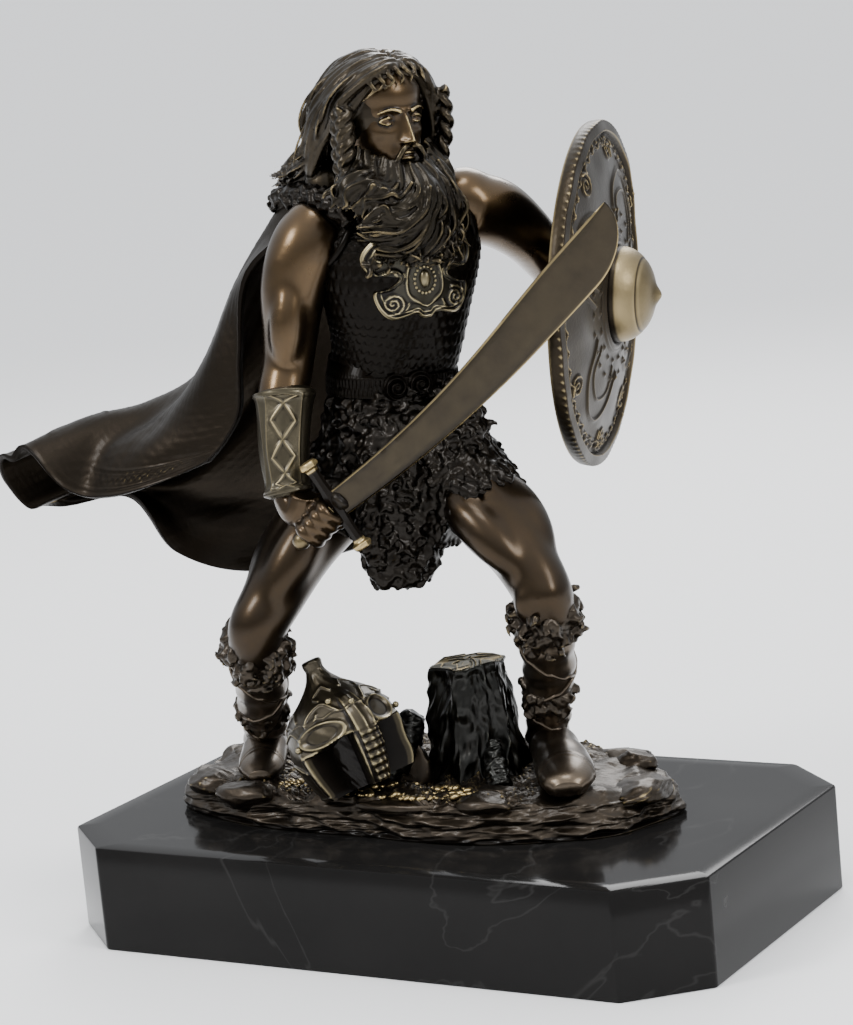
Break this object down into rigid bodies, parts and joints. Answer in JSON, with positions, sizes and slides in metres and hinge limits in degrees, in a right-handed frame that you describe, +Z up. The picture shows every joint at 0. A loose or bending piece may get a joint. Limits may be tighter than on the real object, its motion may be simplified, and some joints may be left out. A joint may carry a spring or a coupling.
{
  "type": "bronze warrior statue",
  "caption": "Desk bronze of a bearded warrior with curved sword, round shield and wind-blown cape, on rocky ground over an octagonal black marble plinth.",
  "frame": {"origin": "centre of the plinth's flat underside, on the surface that the statue stands on", "axes": "+Z up, +X along the plinth's long front edge towards the shield side, +Y to the back"},
  "size_m": [0.2832, 0.1895, 0.3087],
  "materials": {
    "bronze": "dark brown waxed patina with golden rubbed edges",
    "shield_bronze": "greyer brown patina with rubbed relief",
    "sword_bronze": "dark brown patina with bright edges",
    "black_marble": "polished black marble"
  },
  "bodies": {
    "root": {"marble_plinth": "black_marble", "warrior_casting": "bronze", "sword": "sword_bronze", "shield": "shield_bronze"}
  },
  "joints": []
}
